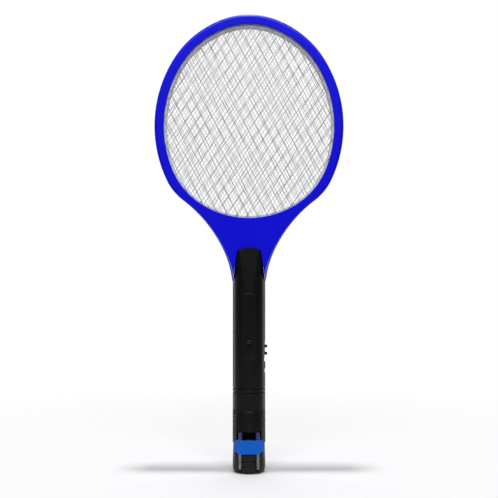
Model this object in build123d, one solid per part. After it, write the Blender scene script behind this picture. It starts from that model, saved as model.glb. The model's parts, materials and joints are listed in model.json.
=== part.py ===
from build123d import *
import os
from math import cos, sin, radians, sqrt, ceil

# Electric fly swatter, standing on its tail cap: +Z up the handle, the front faces -Y, the
# thumb controls are on +X.  The origin is the centre of the tail cap's bottom.  Millimetres.

# ---- overall heights ---------------------------------------------------------------------
LENGTH = 505.0            # tail cap's bottom to the top of the head
CAP_TOP = 13.4            # joint between tail cap and torch body
TORCH_SHOULDER = 88.0     # top of the torch's full-diameter barrel
TORCH_TOP = 110.5         # top of the torch's bezel, inside the handle's socket
SOCKET_TOP = 112.0        # top of the sleeve that takes the torch
HANDLE_BOTTOM = 92.9      # lower ends of the two handle shells
NECK_BURIED = 11.6        # how far the head's outline runs on inside the handle's shoulder

# ---- handle and torch barrel -------------------------------------------------------------
HANDLE_R = 18.0
WALL = 2.0
SEAM_GAP = 0.3            # visible gap where two casings meet
FIT = 0.3                 # room between mouldings that are only laid together
RUN = 0.05                # radial room of a pin that turns or slides in its hole
EDGE = 0.6                # chamfer on casing ends

# ---- head outline: tangent arcs, turning angles measured from +X -------------------------
HEAD_DEPTH = 24.0
TOP_R, TOP_END = 85.0, 69.2
UPPER_R, UPPER_END = 108.0, 32.0
SIDE_R, SIDE_END = 139.0, -25.3
LOWER_R, LOWER_END = 59.6, -53.0
THROAT_END = -26.0
NECK_R = 110.0
RIM = 10.9                # width of the blue rim round the mesh
MESH_SIDE_END = -21.5     # where the mesh opening leaves the rim's line
MESH_LOWER_R, MESH_LOWER_END = 82.0, -59.6
RIM_FILLET = 3.0
LIP_FILLET = 0.8
HEAD_WALL = 2.0

# ---- neck --------------------------------------------------------------------------------
TAB_HALF = 12.5           # the head's tab inside the handle
TAB_DROP = 20.5           # how far the tab reaches below the handle's shoulder
TONGUE_RISE = 37.5        # crown of the tongues above the shoulder
TONGUE_HALF_TOP = 12.8
TONGUE_CROWN = 3.0        # how far the tongue's top is crowned
TONGUE_CORNER = 4.0
TONGUE_T = 2.35           # the tongue's thickness at its top
TONGUE_LIP = HEAD_DEPTH / 2 + SEAM_GAP / 2 + TONGUE_T
FACET_DROP = 13.5         # where the tongue's slope runs out, below the shoulder
STRIP_HALF = 7.0          # flat strip down the front of the handle
STRIP_BOTTOM, STRIP_RAMP = 121.0, 9.0

# ---- grids and spacers -------------------------------------------------------------------
GRID_T = 0.8
GRID_HIDDEN = 5.0         # how far a grid reaches under the rim
GRID_BORDER = 1.2
SPACER_HIDDEN = 6.0
SPACER_SHOWN = 2.0        # how far the white spacers stand into the opening
SPACER_WALL = 2.0
COARSE_STRAND, FINE_STRAND = 0.9, 0.9
FRONT_CELL, FRONT_TILT = (11.7, 18.8), -7.3
BACK_CELL, BACK_TILT = (10.9, 18.5), -0.9
FINE_CELL, FINE_TILT = (8.28, 13.9), -3.0     # twice the real pitch, for a lighter solid

# ---- screws, side controls, lamp ---------------------------------------------------------
SCREW_TOP_DROP = 7.5      # highest screw below the tongue's crown
SCREW_PAIR_X, SCREW_PAIR_DROP = 7.1, 28.2
SCREW_LOW_Z = 117.1
SCREW_HEAD_R, SCREW_HEAD_T, SCREW_SHANK_R = 2.3, 1.6, 1.1
SCREW_RECESS_R, SCREW_RECESS = 2.8, 1.4
SCREW_LENGTH = 17.0
BOSS_R = 2.8
BOSS_GAP = 0.2            # between a front boss and the back boss that meets it
LAMP_Z, LAMP_R = 144.7, 2.5
LAMP_RECESS_R, LAMP_RECESS = 4.2, 0.8
KNOB_Z, KNOB_HALF, KNOB_HALF_Y = 134.9, 6.0, 3.0
KNOB_FLANGE, KNOB_FLANGE_T = 1.5, 1.4
KNOB_TRAVEL = 4.0
RIDGE_OFFSET, RIDGE_T, RIDGE_PROUD = 4.0, 2.6, 2.2
KNOB_SUNK = 0.6           # the slider's bar lies this far below the round of the handle
BUTTON_Z, BUTTON_R, BUTTON_PROUD = 117.7, 4.4, 0.1
BUTTON_FLANGE, BUTTON_FLANGE_T = 0.8, 1.5
BUTTON_TRAVEL = 1.0
SCOOP_LOW, SCOOP_HIGH, SCOOP_DEPTH = 107.8, 134.5, 1.2    # thumb hollow round the controls
RELEASE_Z, RELEASE_R, RELEASE_HOLE_R = 104.3, 2.6, 3.5

# ---- torch -------------------------------------------------------------------------------
NECK_OUT, NECK_WALL, NECK_TOP = 12.5, 1.6, 98.0
NECK_IN = NECK_OUT - NECK_WALL
SOCKET_BORE_R = NECK_OUT + FIT
SOCKET_WALL, SOCKET_FLANGE_T = 1.4, 3.0
BEZEL_WALL, BEZEL_LIP = 1.7, 1.0
BEZEL_BORE = NECK_IN - BEZEL_WALL
TERMINAL_X, TERMINAL_R, CONTACT_RISE = 10.7, 1.2, 9.0
RIBS, RIB_BOTTOM, RIB_PITCH, RIB_R = 16, 32.6, 2.28, 18.3
RIB_GROOVE = 0.9          # depth of the grooves between the ribs
BATTERY_R, BATTERY_BOTTOM, BATTERY_TOP = 9.1, 51.0, 89.0
LAMP_BOARD_Z = 98.5
LED_RING_R, LED_R = 4.4, 2.5
LANYARD_HALF, LANYARD_LOW, LANYARD_HIGH = 2.6, 4.9, 11.9
CAP_GROOVE_Z, CAP_GROOVE = 9.3, 0.5
CAP_ROUND, CAP_FLOOR = 5.0, 3.0
TAIL_BUTTON_R, TAIL_RECESS_R, TAIL_RECESS = 4.6, 6.5, 1.4
TAIL_BUTTON_LOW = 0.5
TAIL_FLANGE_R, TAIL_FLANGE_T, TAIL_TRAVEL = 6.2, 1.0, 1.2
SPRING_WIRE_R = 0.35

# ---- fold-out plug -----------------------------------------------------------------------
PIN_PITCH, PIN_R, PIN_TIP = 19.0, 2.0, 4.2
PIN_Y = 4.0 - HANDLE_R                # the pins lie in grooves, just under the barrel's round
HINGE_R, HINGE_Y, HINGE_Z = 1.0, PIN_Y + 0.5, 35.0
CARRIER_LOW, CARRIER_HIGH = 21.6, 36.9
CARRIER_FRONT = 1.1 - HANDLE_R
CARRIER_BACK, CARRIER_SIDE = CARRIER_FRONT + 6.3, CARRIER_FRONT + 7.3
CARRIER_FLAT, CARRIER_HALF = PIN_PITCH / 2 + 0.5, HANDLE_R - 1.9
CARRIER_WALL = 2.6                    # thickness of the carrier's slanted sides
CARRIER_CORNER = (4.2, 2.6)           # its lower corners, cut off this wide and this high
SLEEVE_TOP, SLEEVE_R = 45.3, 2.15
POCKET_HALF, POCKET_TOP = PIN_PITCH / 2 + 3.9, 46.2
POCKET_BACK = HINGE_Y + SLEEVE_TOP - HINGE_Z + 0.7    # room for the sleeves to swing through
LUG_T, LUG_R = 2.4, 1.75
LUG_X = PIN_PITCH / 2 - PIN_R - LUG_T / 2 - 1.1
LUG_ROOM = 0.25
GROOVE_WALL = 1.2                     # backing behind the pin grooves

# ---- circuit boards and what stands on them ----------------------------------------------
BOARD_T = 1.6
BOARD_Y, BOARD_LOW, BOARD_HALF = 5.6, 113.4, 13.2
SOLDER_GAP = 0.15                     # between a part and its board
CHARGE_BOARD_Y, CHARGE_BOARD_HALF = 9.5, 10.5
CHARGE_BOARD_LOW, CHARGE_BOARD_HIGH = 16.0, 45.5


# ---- small helpers -----------------------------------------------------------------------
def block(x0, x1, y0, y1, z0, z1):
    """A box given by its two opposite corners."""
    return Pos(x0, y0, z0) * Box(x1 - x0, y1 - y0, z1 - z0, align=(Align.MIN,) * 3)


def post(r, z0, z1, x=0.0, y=0.0):
    """A cylinder along Z."""
    return Pos(x, y, z0) * Cylinder(r, z1 - z0, align=(Align.CENTER, Align.CENTER, Align.MIN))


def tube(r_out, r_in, z0, z1):
    return post(r_out, z0, z1) - post(r_in, z0 - 1, z1 + 1)


def rod_y(r, y0, y1, x, z):
    """A cylinder along Y."""
    return Pos(x, (y0 + y1) / 2, z) * Rot(90, 0, 0) * Cylinder(r, y1 - y0)


def rod_x(r, x0, x1, y, z):
    """A cylinder along X."""
    return Pos((x0 + x1) / 2, y, z) * Rot(0, 90, 0) * Cylinder(r, x1 - x0)


def slab(face, y0, y1):
    """A face drawn in X and Z, made solid from y0 to y1."""
    return extrude(Plane.XZ.offset(-y1) * face, amount=y1 - y0)


def side_profile(points, x0, x1):
    """A polygon of (y, z) points, made solid from x0 to x1."""
    return extrude(Plane.YZ.offset(x0) * make_face(Polyline(*points, close=True)), amount=x1 - x0)


def turned(points):
    """A closed (radius, z) outline turned about the handle's axis."""
    return revolve(Plane.XZ * make_face(Polyline(*points, close=True)), axis=Axis.Z)


# ---- the head's outline ------------------------------------------------------------------
def heading(angle):
    return cos(radians(angle)), sin(radians(angle))


def step_centre(centre, shift, angle):
    """The next arc's centre, shifted along the shared normal of two tangent arcs."""
    nx, nz = heading(angle)
    return centre[0] + shift * nx, centre[1] + shift * nz


def upper_arcs(inset):
    """The convex arcs round the top and side, moved inwards by inset: centre, radius, angles."""
    top = (0.0, LENGTH - TOP_R)
    upper = step_centre(top, TOP_R - UPPER_R, TOP_END)
    side = step_centre(upper, UPPER_R - SIDE_R, UPPER_END)
    return [(top, TOP_R - inset, 90.0, TOP_END),
            (upper, UPPER_R - inset, TOP_END, UPPER_END),
            (side, SIDE_R - inset, UPPER_END, SIDE_END)]


def outer_arcs(inset=0.0):
    """Right half of the head down to where it meets the handle's width."""
    arcs = upper_arcs(inset)
    lower = step_centre(arcs[-1][0], SIDE_R - LOWER_R, SIDE_END)
    cos_low, cos_throat = heading(LOWER_END)[0], heading(THROAT_END)[0]
    reach = lower[0] + LOWER_R * cos_low - NECK_R * (1 - cos_throat)
    throat_r = (reach - HANDLE_R) / (cos_throat - cos_low)
    throat = step_centre(lower, LOWER_R + throat_r, LOWER_END)
    neck = step_centre(throat, NECK_R - throat_r, THROAT_END)
    return arcs + [(lower, LOWER_R - inset, SIDE_END, LOWER_END),
                   (throat, -(throat_r + inset), LOWER_END, THROAT_END),
                   (neck, -(NECK_R + inset), THROAT_END, 0.0)]


def mesh_arcs(inset=0.0):
    """Right half of the mesh opening, moved inwards by inset."""
    top, upper, side = upper_arcs(RIM + inset)
    side = (side[0], side[1], UPPER_END, MESH_SIDE_END)
    lower = step_centre(side[0], SIDE_R - RIM - MESH_LOWER_R, MESH_SIDE_END)
    bottom_r = MESH_LOWER_R + lower[0] / heading(MESH_LOWER_END)[0]
    bottom = (0.0, lower[1] + (MESH_LOWER_R - bottom_r) * heading(MESH_LOWER_END)[1])
    return [top, upper, side,
            (lower, MESH_LOWER_R - inset, MESH_SIDE_END, MESH_LOWER_END),
            (bottom, bottom_r - inset, MESH_LOWER_END, -90.0)]


def arc_point(arc, angle):
    (cx, cz), radius = arc[0], arc[1]
    nx, nz = heading(angle)
    return cx + radius * nx, cz + radius * nz


SHOULDER = arc_point(outer_arcs()[-1], 0.0)[1] + NECK_BURIED    # the handle's round part ends
MESH_BOTTOM = arc_point(mesh_arcs()[-1], -90.0)[1]
MESH_MIDDLE = (MESH_BOTTOM + LENGTH - RIM) / 2
TONGUE_TOP = SHOULDER + TONGUE_RISE
TAB_BOTTOM = SHOULDER - TAB_DROP
FACET_FOOT = SHOULDER - FACET_DROP
BOARD_HIGH = TAB_BOTTOM - 1.0
PAIR_Z = TONGUE_TOP - SCREW_PAIR_DROP
SCREWS = [(0.0, TONGUE_TOP - SCREW_TOP_DROP), (-SCREW_PAIR_X, PAIR_Z), (SCREW_PAIR_X, PAIR_Z),
          (0.0, SCREW_LOW_Z)]                                   # x and z of each


def arc_edges(arcs, side=1):
    """The arcs as edges in X and Z, or mirrored to -X with side=-1."""
    edges = []
    for arc in arcs:
        angles = (arc[2], (arc[2] + arc[3]) / 2, arc[3])
        points = [arc_point(arc, angle) for angle in angles]
        edges.append(ThreePointArc(*[(side * x, z) for x, z in points]))
    return edges


def mesh_face(inset=0.0):
    arcs = mesh_arcs(inset)
    return make_face(arc_edges(arcs) + arc_edges(arcs, -1))


def mesh_half_width(z, inset):
    """Half the mesh opening's width at height z, or nothing above and below it."""
    for arc in mesh_arcs(inset):
        high, low = arc_point(arc, arc[2])[1], arc_point(arc, arc[3])[1]
        if low <= z <= high:
            return arc[0][0] + sqrt(arc[1] ** 2 - (z - arc[0][1]) ** 2)
    return 0.0


def head_volume(inset, half_depth):
    """The head with its neck, solid: the outline turned about Z and cut to the head's depth.
    So the neck is round where it meets the handle, and the head is flat."""
    arcs = outer_arcs(inset)
    foot = arc_point(arcs[-1], 0.0)
    crown = arc_point(arcs[0], 90.0)
    profile = make_face(arc_edges(arcs) + [Line(foot, (0, foot[1])), Line((0, foot[1]), crown)])
    round_head = revolve(Plane.XZ * profile, axis=Axis.Z)
    flat = block(-LENGTH, LENGTH, -half_depth, half_depth, SHOULDER + SEAM_GAP, LENGTH + 1)
    return round_head & flat


# ---- head --------------------------------------------------------------------------------
def covered_neck(gap, radius):
    """What the handle's mouth takes away from the head's neck, so that it goes inside."""
    mouth = block(-HANDLE_R - 1, HANDLE_R + 1, -HANDLE_R, HANDLE_R, TAB_BOTTOM, SHOULDER + gap)
    mouth += slab(offset(tongue_face(), gap), -HANDLE_R, HANDLE_R)
    inner = post(radius, TAB_BOTTOM - 1, TONGUE_TOP + HEAD_DEPTH)
    half = HEAD_DEPTH / 2
    return mouth - (inner & block(-radius, radius, -half, half, TAB_BOTTOM - 1, LENGTH))


def head_shell(side):
    """Front (side=-1) or back (side=1) half of the blue head frame."""
    half = HEAD_DEPTH / 2
    outside = head_volume(0.0, half)
    rim_edges = [e for e in outside.edges()
                 if abs(abs(e.center().Y) - half) < 0.01 and e.center().Z > SHOULDER + 1]
    sleeve = HANDLE_R - WALL - FIT
    outside = fillet(rim_edges, RIM_FILLET) - covered_neck(SEAM_GAP, sleeve)
    inside = head_volume(HEAD_WALL, half - HEAD_WALL)
    inside -= covered_neck(SEAM_GAP + HEAD_WALL, sleeve - HEAD_WALL)
    tab_half_y = sqrt((HANDLE_R - WALL - FIT) ** 2 - TAB_HALF ** 2)
    outside += block(-TAB_HALF, TAB_HALF, -tab_half_y, tab_half_y, TAB_BOTTOM, SHOULDER + 5)
    tab_in, tab_in_y = TAB_HALF - HEAD_WALL, tab_half_y - HEAD_WALL
    inside += block(-tab_in, tab_in, -tab_in_y, tab_in_y, TAB_BOTTOM - 1, SHOULDER + 9)
    shell = outside - inside - slab(mesh_face(), -half - 1, half + 1)
    for x, z in SCREWS:
        shell -= rod_y(BOSS_R + FIT, -half - 1, half + 1, x, z)
    keep = sorted((0.0, side * (half + 1)))
    shell = shell & block(-LENGTH, LENGTH, keep[0], keep[1], 0, LENGTH + 1)
    lip = [e for e in shell.edges()
           if abs(abs(e.center().Y) - half) < 0.01 and e.center().Z > MESH_BOTTOM - 1
           and abs(e.center().X) < mesh_half_width(e.center().Z, -1.0) + 0.5]
    return fillet(lip, LIP_FILLET)


def lattice(cell, tilt, strand, inset):
    """Open diamonds between crossing strands, as faces in X and Z, trimmed to the opening."""
    wide, tall = cell
    side = sqrt(wide ** 2 + tall ** 2) / 2
    shrink = 1 - strand * 2 * side / (wide * tall)
    across, up = heading(tilt)
    trim = mesh_face(inset)
    holes = []
    rows = ceil(LENGTH / tall)
    for row in range(-rows, rows + 1):
        for column in range(-rows, rows + 1):
            u, v = (column + (row % 2) / 2) * wide, row * tall / 2
            corners = []
            for du, dv in ((wide / 2, 0), (0, tall / 2), (-wide / 2, 0), (0, -tall / 2)):
                a, b = u + du * shrink, v + dv * shrink
                corners.append((a * across - b * up, MESH_MIDDLE + a * up + b * across))
            inside = [abs(x) < mesh_half_width(z, inset) for x, z in corners]
            if all(inside):
                holes.append(make_face(Polyline(*corners, close=True)))
            elif any(inside):
                cut = (make_face(Polyline(*corners, close=True)) & trim).faces()
                holes += [face for face in cut if face.area > strand * strand]
    return holes


def grid(cell, tilt, strand, y):
    """One expanded-metal grid: a thin plate with its diamonds open."""
    holes = lattice(cell, tilt, strand, GRID_BORDER - GRID_HIDDEN)
    rim = mesh_face(-GRID_HIDDEN)
    face = Face(rim.face().outer_wire(), [hole.face().outer_wire() for hole in holes])
    return slab(face, y - GRID_T / 2, y + GRID_T / 2)


GRID_Y = HEAD_DEPTH / 2 - HEAD_WALL - FIT - GRID_T / 2


def grid_front():
    return grid(FRONT_CELL, FRONT_TILT, COARSE_STRAND, -GRID_Y)


def grid_back():
    return grid(BACK_CELL, BACK_TILT, COARSE_STRAND, GRID_Y)


def grid_middle():
    return grid(FINE_CELL, FINE_TILT, FINE_STRAND, 0.0)


def spacer(side):
    """White ring that keeps an outer grid off the middle one: a wall with a flange."""
    near = GRID_T / 2 + FIT
    far = GRID_Y - GRID_T / 2 - FIT
    wall = mesh_face(SPACER_SHOWN - SPACER_WALL) - mesh_face(SPACER_SHOWN)
    flange = mesh_face(-SPACER_HIDDEN) - mesh_face(SPACER_SHOWN)
    stand = sorted((side * near, side * far))
    foot = sorted((side * (far - SPACER_WALL), side * far))
    return slab(wall, *stand) + slab(flange, *foot)


# ---- handle ------------------------------------------------------------------------------
def tongue_face():
    """Outline of a tongue in X and Z: tapered, crowned, with round corners."""
    shoulder = TONGUE_TOP - TONGUE_CROWN
    outline = [Line((-HANDLE_R, SHOULDER - 4), (HANDLE_R, SHOULDER - 4)),
               Line((HANDLE_R, SHOULDER - 4), (HANDLE_R, SHOULDER)),
               Line((HANDLE_R, SHOULDER), (TONGUE_HALF_TOP, shoulder)),
               ThreePointArc((TONGUE_HALF_TOP, shoulder), (0, TONGUE_TOP),
                             (-TONGUE_HALF_TOP, shoulder)),
               Line((-TONGUE_HALF_TOP, shoulder), (-HANDLE_R, SHOULDER)),
               Line((-HANDLE_R, SHOULDER), (-HANDLE_R, SHOULDER - 4))]
    face = make_face(outline)
    corners = [v for v in face.vertices() if v.Y > shoulder - 1]
    return fillet(corners, TONGUE_CORNER)


def handle_outside():
    """The handle's outer form, solid, with the slanted mouth that ends in two tongues."""
    barrel = post(HANDLE_R, HANDLE_BOTTOM, TONGUE_TOP + 1)
    barrel = chamfer(barrel.edges().filter_by(GeomType.CIRCLE).sort_by(Axis.Z)[:1], EDGE)
    keep = block(-HANDLE_R, HANDLE_R, -HANDLE_R, HANDLE_R, HANDLE_BOTTOM, SHOULDER)
    form = barrel & (keep + slab(tongue_face(), -HANDLE_R, HANDLE_R))
    out = HANDLE_R + 1
    slope = (HANDLE_R - TONGUE_LIP) / (TONGUE_TOP - FACET_FOOT)
    lip = TONGUE_LIP - slope
    for side in (-1, 1):
        wedge = [(side * HANDLE_R, FACET_FOOT), (side * lip, TONGUE_TOP + 1),
                 (side * out, TONGUE_TOP + 1), (side * out, FACET_FOOT)]
        form -= side_profile(wedge, -HANDLE_R, HANDLE_R)
    return form


def handle_shell(side):
    """Front (side=-1) or back (side=1) half of the black handle."""
    form = handle_outside()
    strip_y = sqrt(HANDLE_R ** 2 - STRIP_HALF ** 2)
    if side < 0:
        ramp = [(-HANDLE_R, STRIP_BOTTOM), (-strip_y, STRIP_BOTTOM + STRIP_RAMP),
                (-strip_y, FACET_FOOT), (-HANDLE_R - 1, FACET_FOOT + 3),
                (-HANDLE_R - 1, STRIP_BOTTOM)]
        form -= side_profile(ramp, -HANDLE_R, HANDLE_R)
    form -= post(HANDLE_R - WALL, HANDLE_BOTTOM - 1, SHOULDER)
    clear = HEAD_DEPTH / 2 + SEAM_GAP / 2
    form -= post(HANDLE_R - WALL, SHOULDER - 1, TONGUE_TOP + 2)\
        & block(-HANDLE_R, HANDLE_R, -clear, clear, 0, LENGTH)
    reach = (1 - HANDLE_R, -BOSS_GAP) if side < 0 else (0, HANDLE_R - 1)
    for x, z in SCREWS:
        form += rod_y(BOSS_R, *reach, x, z) & handle_outside()
    if side < 0:
        form -= rod_y(LAMP_R + RUN, -HANDLE_R - 1, 0, 0, LAMP_Z)
        form -= rod_y(LAMP_RECESS_R, -HANDLE_R - 1, LAMP_RECESS - strip_y, 0, LAMP_Z)
        for x, z in SCREWS:
            form -= rod_y(SCREW_SHANK_R + RUN, -SCREW_LENGTH + WALL, 1, x, z)
    else:
        form -= rod_y(RELEASE_HOLE_R, 0, HANDLE_R + 1, 0, RELEASE_Z)
        for x, z in SCREWS:
            face_y = back_face_y(z)
            form -= rod_y(SCREW_SHANK_R + FIT, -1, HANDLE_R + 1, x, z)
            form -= rod_y(SCREW_RECESS_R - 0.2, face_y - SCREW_RECESS - SCREW_HEAD_T, face_y,
                          x, z)
            form -= rod_y(SCREW_RECESS_R, face_y - SCREW_RECESS, HANDLE_R + 1, x, z)
    slot_low, slot_high = KNOB_Z - KNOB_HALF - FIT, KNOB_Z + KNOB_HALF + KNOB_TRAVEL + FIT
    slot_y = KNOB_HALF_Y + FIT
    form -= block(HANDLE_R / 2, HANDLE_R + 1, -slot_y, slot_y, slot_low, slot_high)
    form -= rod_x(BUTTON_R + FIT, HANDLE_R / 2, HANDLE_R + 1, 0, BUTTON_Z) + thumb_hollow()
    keep = sorted((0.0, side * (HANDLE_R + 1)))
    return form & block(-HANDLE_R - 1, HANDLE_R + 1, keep[0], keep[1], 0, LENGTH)


def thumb_hollow():
    """Shallow round hollow in the handle's side for the thumb."""
    half = (SCOOP_HIGH - SCOOP_LOW) / 2
    radius = (half ** 2 + SCOOP_DEPTH ** 2) / (2 * SCOOP_DEPTH)
    middle = (SCOOP_HIGH + SCOOP_LOW) / 2
    return rod_y(radius, -HANDLE_R, HANDLE_R, HANDLE_R - SCOOP_DEPTH + radius, middle)


def back_face_y(z):
    """Distance of the handle's back face from the axis at height z, on the centre line."""
    slope = (HANDLE_R - TONGUE_LIP) / (TONGUE_TOP - FACET_FOOT)
    return HANDLE_R - max(0.0, z - FACET_FOOT) * slope


def handle_screws():
    """Four alike self-tapping screws, from the back."""
    screws = []
    for x, z in SCREWS:
        top = back_face_y(z) - SCREW_RECESS
        head = rod_y(SCREW_HEAD_R, top - SCREW_HEAD_T, top, x, z)
        shank = rod_y(SCREW_SHANK_R, top - SCREW_LENGTH, top - SCREW_HEAD_T, x, z)
        slot = block(-0.3, 0.3, top - 0.7, top + 1, -1.5, 1.5)
        cross = Pos(x, 0, z) * (slot + Rot(0, 90, 0) * slot)
        screws.append(head + shank - cross)
    return Compound(children=screws)


def torch_socket():
    """Sleeve with the visible collar, which takes the torch's neck."""
    sleeve = SOCKET_BORE_R + SOCKET_WALL
    low = TORCH_SHOULDER + SEAM_GAP
    high = HANDLE_BOTTOM - SEAM_GAP
    flange = HANDLE_R - WALL - FIT
    form = turned([(SOCKET_BORE_R, low), (HANDLE_R - EDGE, low), (HANDLE_R, low + EDGE),
                   (HANDLE_R, high - EDGE), (HANDLE_R - EDGE, high), (sleeve, high),
                   (sleeve, SOCKET_TOP - SOCKET_FLANGE_T),
                   (flange, SOCKET_TOP - SOCKET_FLANGE_T), (flange, SOCKET_TOP),
                   (SOCKET_BORE_R, SOCKET_TOP)])
    return form - rod_y(RELEASE_HOLE_R, 0, HANDLE_R, 0, RELEASE_Z)


# ---- side controls and lamp --------------------------------------------------------------
BUTTON_SEAT = sqrt((HANDLE_R - WALL) ** 2 - (BUTTON_R + BUTTON_FLANGE) ** 2) - FIT
KNOB_SEAT = sqrt((HANDLE_R - WALL) ** 2 - (KNOB_HALF_Y + KNOB_FLANGE) ** 2) - FIT


def zap_button():
    """Round push button with a flange inside the handle's wall."""
    cap = rod_x(BUTTON_R, BUTTON_SEAT - 0.5, HANDLE_R + BUTTON_PROUD, 0, BUTTON_Z)
    cap = fillet(cap.faces().sort_by(Axis.X)[-1].edges(), 1.0)
    return cap + rod_x(BUTTON_R + BUTTON_FLANGE, BUTTON_SEAT - BUTTON_FLANGE_T, BUTTON_SEAT,
                       0, BUTTON_Z)


def zap_switch():
    """Small push switch behind the red button."""
    top = BUTTON_SEAT - BUTTON_FLANGE_T - BUTTON_TRAVEL - FIT / 2
    case = block(top - 5, top - 1.5, -3, 3, BUTTON_Z - 3, BUTTON_Z + 3)
    return case + rod_x(1.7, top - 1.6, top, 0, BUTTON_Z)


def slide_knob():
    """Thumb slider: a bar with two ridges, and a flange inside the wall."""
    low, high = KNOB_Z - KNOB_HALF, KNOB_Z + KNOB_HALF
    seat = HANDLE_R - KNOB_SUNK
    back = KNOB_SEAT - KNOB_FLANGE_T
    wide = KNOB_HALF_Y + KNOB_FLANGE
    knob = block(back, seat, -KNOB_HALF_Y, KNOB_HALF_Y, low, high)
    for side in (-1, 1):
        middle = KNOB_Z + side * RIDGE_OFFSET
        ridge = block(seat - 1, HANDLE_R + RIDGE_PROUD, -KNOB_HALF_Y, KNOB_HALF_Y,
                      middle - RIDGE_T / 2, middle + RIDGE_T / 2)
        knob += fillet(ridge.faces().sort_by(Axis.X)[-1].edges(), 0.8)
    flange = block(back, KNOB_SEAT, -wide, wide, low - 1, high + 1)
    finger = block(back - 1.6, back + 0.1, -1, 1, KNOB_Z - 1.5, KNOB_Z + 1.5)
    return knob + flange + finger


def slide_switch():
    """Slide switch case behind the slider, with a window for the slider's finger."""
    face = KNOB_SEAT - KNOB_FLANGE_T - FIT
    case = block(face - 4.1, face, -3.5, 3.5, KNOB_Z - 8, KNOB_Z + KNOB_TRAVEL + 8)
    return case - block(face - 1.6, face + 1, -1.4, 1.4, KNOB_Z - 2.2, KNOB_Z + KNOB_TRAVEL + 2.2)


def indicator_lamp():
    """Red 5 mm lamp behind the front strip."""
    front = sqrt(HANDLE_R ** 2 - STRIP_HALF ** 2) - LAMP_RECESS
    length, lead, leg_x = 7.4, 0.25, 1.27
    body = rod_y(LAMP_R, -front - 0.9, length - front - 0.9, 0, LAMP_Z)
    body = fillet(body.edges().filter_by(GeomType.CIRCLE).sort_by(Axis.Y)[:1], 0.8)
    body += rod_y(LAMP_R + 0.4, WALL - front, WALL - front + 1, 0, LAMP_Z)
    for x in (-leg_x, leg_x):
        body += block(x - lead, x + lead, length - front - 1, BOARD_Y - SOLDER_GAP,
                      LAMP_Z - lead, LAMP_Z + lead)
    return body


# ---- circuit in the handle ---------------------------------------------------------------
BOARD_FACE = BOARD_Y - SOLDER_GAP                  # parts on the front stand off this
BOARD_REAR = BOARD_Y + BOARD_T + SOLDER_GAP        # and parts on the back off this


def circuit_board():
    board = block(-BOARD_HALF, BOARD_HALF, BOARD_Y, BOARD_Y + BOARD_T, BOARD_LOW, BOARD_HIGH)
    x, z = SCREWS[-1]
    return board - rod_y(BOSS_R + FIT, 0, HANDLE_R, x, z)


def transformer():
    """Step-up transformer: ferrite frame round a wound bobbin."""
    half, deep, low, high = 8.0, 11.0, BOARD_HIGH - 33, BOARD_HIGH - 18
    limb = 3.0
    frame = block(-half, half, BOARD_FACE - deep, BOARD_FACE - 1, low, high)
    inside = half - limb - 0.4
    window = block(-inside, inside, -HANDLE_R, BOARD_FACE, low + limb, high - limb)
    bobbin = block(-inside + 0.2, inside - 0.2, BOARD_FACE - deep - 2, BOARD_FACE,
                   low + limb + 0.2, high - limb - 0.2)
    return frame - window + bobbin


def storage_capacitor():
    """Film capacitor across the grids."""
    body = block(-9, 9, BOARD_FACE - 9, BOARD_FACE - 0.5, BOARD_HIGH - 16, BOARD_HIGH - 4)
    return fillet(body.edges(), 1.5)


def ladder_capacitors():
    """Disc capacitors of the voltage multiplier."""
    radius, pitch, z = 3.2, 8.0, BOARD_HIGH - 37
    discs = [rod_y(radius, BOARD_FACE - 4, BOARD_FACE - 1.2, x, z) for x in (-pitch, 0, pitch)]
    return Compound(children=discs)


def back_row(radius, half, first_z, count):
    """Small cylinders lying across the back of the board, one above another."""
    y = BOARD_REAR + radius
    rows = [rod_x(radius, -half, half, y, first_z + 5 * step) for step in range(count)]
    return Compound(children=rows)


def ladder_diodes():
    """Diodes of the voltage multiplier."""
    return back_row(1.3, 2.6, BOARD_HIGH - 39, 4)


def resistors():
    return back_row(1.2, 3.0, BOARD_HIGH - 17, 3)


def transistor():
    """Half-round switching transistor beside the lamp."""
    radius, x, z = 2.3, -8.0, LAMP_Z
    can = rod_y(radius, BOARD_FACE - 6, BOARD_FACE - 1, x, z)
    return can - block(x - 3, x + 3, -HANDLE_R, BOARD_FACE, z + 1.3, z + 3)


def path_tube(points, bends, radius):
    """A lead along straight runs joined by arcs."""
    path = FilletPolyline(*points, radius=bends)
    return sweep(Plane(path @ 0, z_dir=path % 0) * Circle(radius), path=path)


def grid_leads():
    """Two insulated leads from the board up through the neck to the grids."""
    radius, bend = 0.8, 9.0
    leads = []
    for side in (-1, 1):
        y, x_low, x_high = side * 3.0, side * 2.9, side * 6.5
        points = [(x_low, y, BOARD_HIGH - 3), (x_low, y, TONGUE_TOP - 24),
                  (x_high, y, TONGUE_TOP - 12), (x_high, y, MESH_BOTTOM - 5)]
        leads.append(path_tube(points, bend, radius))
    return Compound(children=leads)


def power_leads():
    """Two leads from the socket's contacts to the board."""
    radius, low = 0.7, SOCKET_TOP + CONTACT_RISE + SOLDER_GAP
    leads = [post(radius, low, low + 7, x, -2.0) for x in (-10.8, -8.6)]
    return Compound(children=leads)


def socket_contacts():
    """Two brass blades over the torch's terminals: the left one rises to the leads."""
    blades = []
    half, thick, low = 1.5, 0.5, SOCKET_TOP + FIT
    for side, rise in ((-1, CONTACT_RISE), (1, 2.5)):
        x0, x1 = sorted((side * (TERMINAL_X - half), side * (TERMINAL_X + half - 0.4)))
        foot = block(x0, x1, -half, half, low, low + thick)
        y0, y1 = sorted((side * (half - thick), side * half))
        blades.append(foot + block(x0, x1, y0, y1, low, SOCKET_TOP + rise))
    return Compound(children=blades)


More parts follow.
